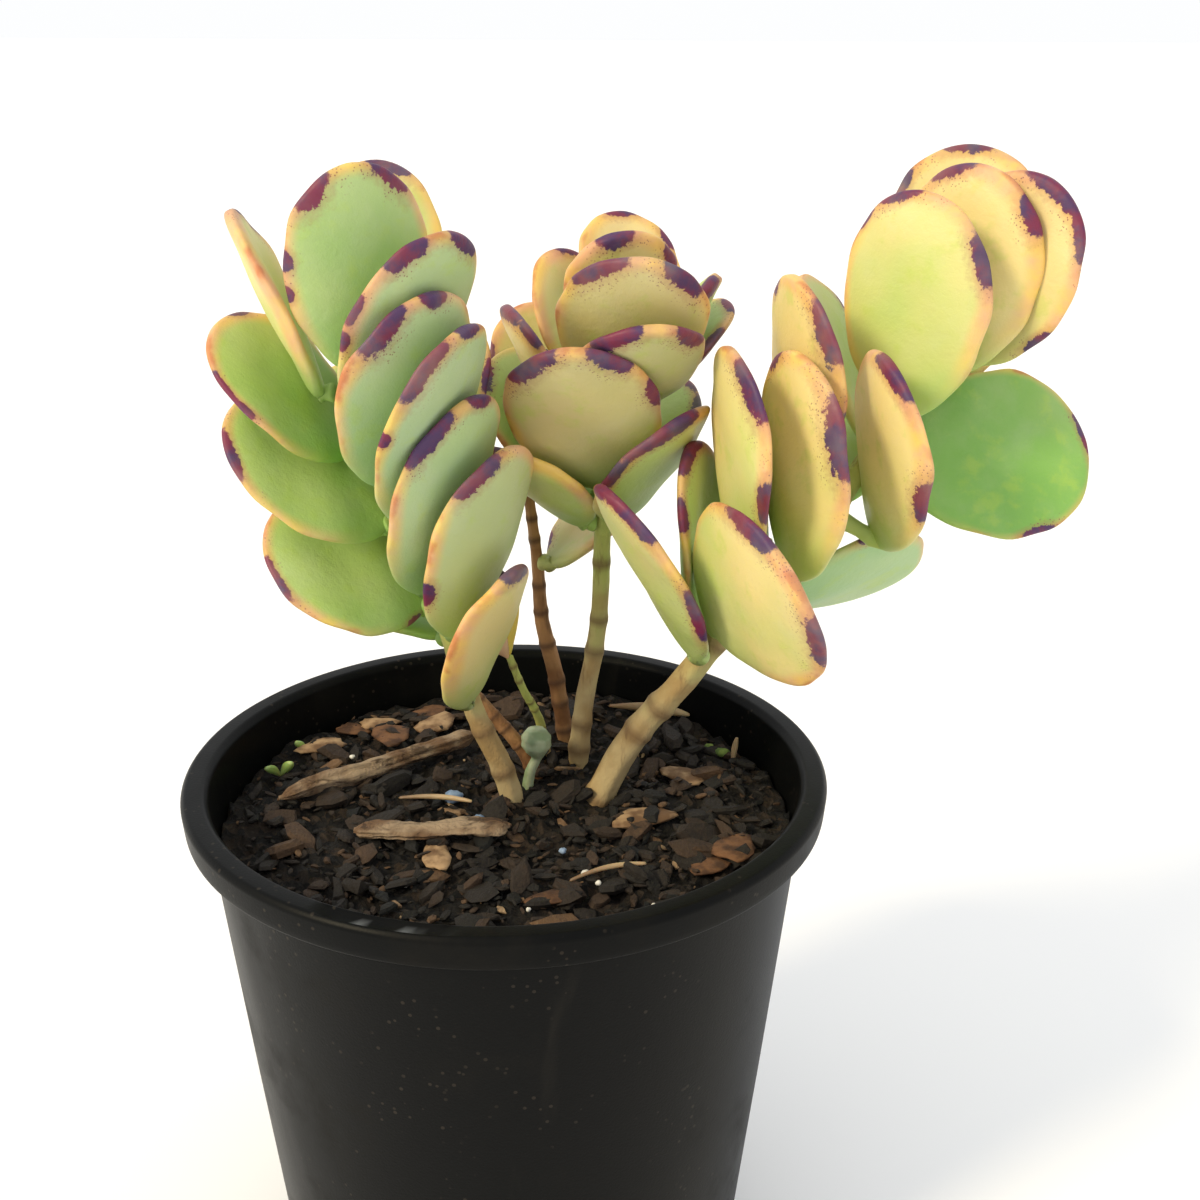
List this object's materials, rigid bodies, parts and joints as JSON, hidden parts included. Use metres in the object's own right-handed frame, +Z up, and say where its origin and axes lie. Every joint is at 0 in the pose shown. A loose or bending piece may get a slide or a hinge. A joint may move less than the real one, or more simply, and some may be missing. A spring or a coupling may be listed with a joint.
{
  "type": "potted succulent plant",
  "caption": "Potted succulent with fleshy oval leaves on three leaning woody stems, in a round tapered black plastic nursery pot filled with bark potting mix.",
  "frame": {"origin": "centre of the pot's flat underside", "axes": "+Z up through the pot, -Y towards the plant's front, +X to the plant's right as seen from the front"},
  "size_m": [0.1953, 0.14, 0.2586],
  "materials": {
    "leaf": "fleshy waxy leaf, satin",
    "stem": "living stem, matte, grey-green over tan",
    "dry_stem": "dry brown bark, matte",
    "pot": "moulded black plastic, satin",
    "potting_mix": "dark bark chips, rough",
    "dead_wood": "weathered wood, rough"
  },
  "bodies": {
    "root": {"left_leaf_01": "leaf", "left_leaf_02": "leaf", "left_leaf_03": "leaf", "left_leaf_04": "leaf", "left_leaf_05": "leaf", "left_leaf_06": "leaf", "left_leaf_07": "leaf", "left_leaf_08": "leaf", "left_leaf_09": "leaf", "left_leaf_10": "leaf", "left_leaf_11": "leaf", "left_leaf_12": "leaf", "left_leaf_13": "leaf", "left_leaf_14": "leaf", "left_leaf_15": "leaf", "left_leaf_16": "leaf", "centre_leaf_01": "leaf", "centre_leaf_02": "leaf", "centre_leaf_03": "leaf", "centre_leaf_04": "leaf", "centre_leaf_05": "leaf", "centre_leaf_06": "leaf", "centre_leaf_07": "leaf", "centre_leaf_08": "leaf", "centre_leaf_09": "leaf", "centre_leaf_10": "leaf", "centre_leaf_11": "leaf", "centre_leaf_12": "leaf", "centre_leaf_13": "leaf", "right_leaf_01": "leaf", "right_leaf_02": "leaf", "right_leaf_03": "leaf", "right_leaf_04": "leaf", "right_leaf_05": "leaf", "right_leaf_06": "leaf", "right_leaf_07": "leaf", "right_leaf_08": "leaf", "right_leaf_09": "leaf", "right_leaf_10": "leaf", "right_leaf_11": "leaf", "right_leaf_12": "leaf", "right_leaf_13": "leaf", "right_leaf_14": "leaf", "right_leaf_15": "leaf", "right_leaf_16": "leaf", "right_leaf_17": "leaf", "right_leaf_18": "leaf", "back_leaf_01": "leaf", "back_leaf_02": "leaf", "left_stem": "stem", "centre_stem": "stem", "right_stem": "stem", "weak_stem": "stem", "sprout": "stem", "back_stem": "dry_stem", "stub_stem": "dry_stem", "nursery_pot": "pot", "potting_soil": "potting_mix", "long_twig": "dead_wood", "split_bark": "dead_wood"}
  },
  "joints": []
}
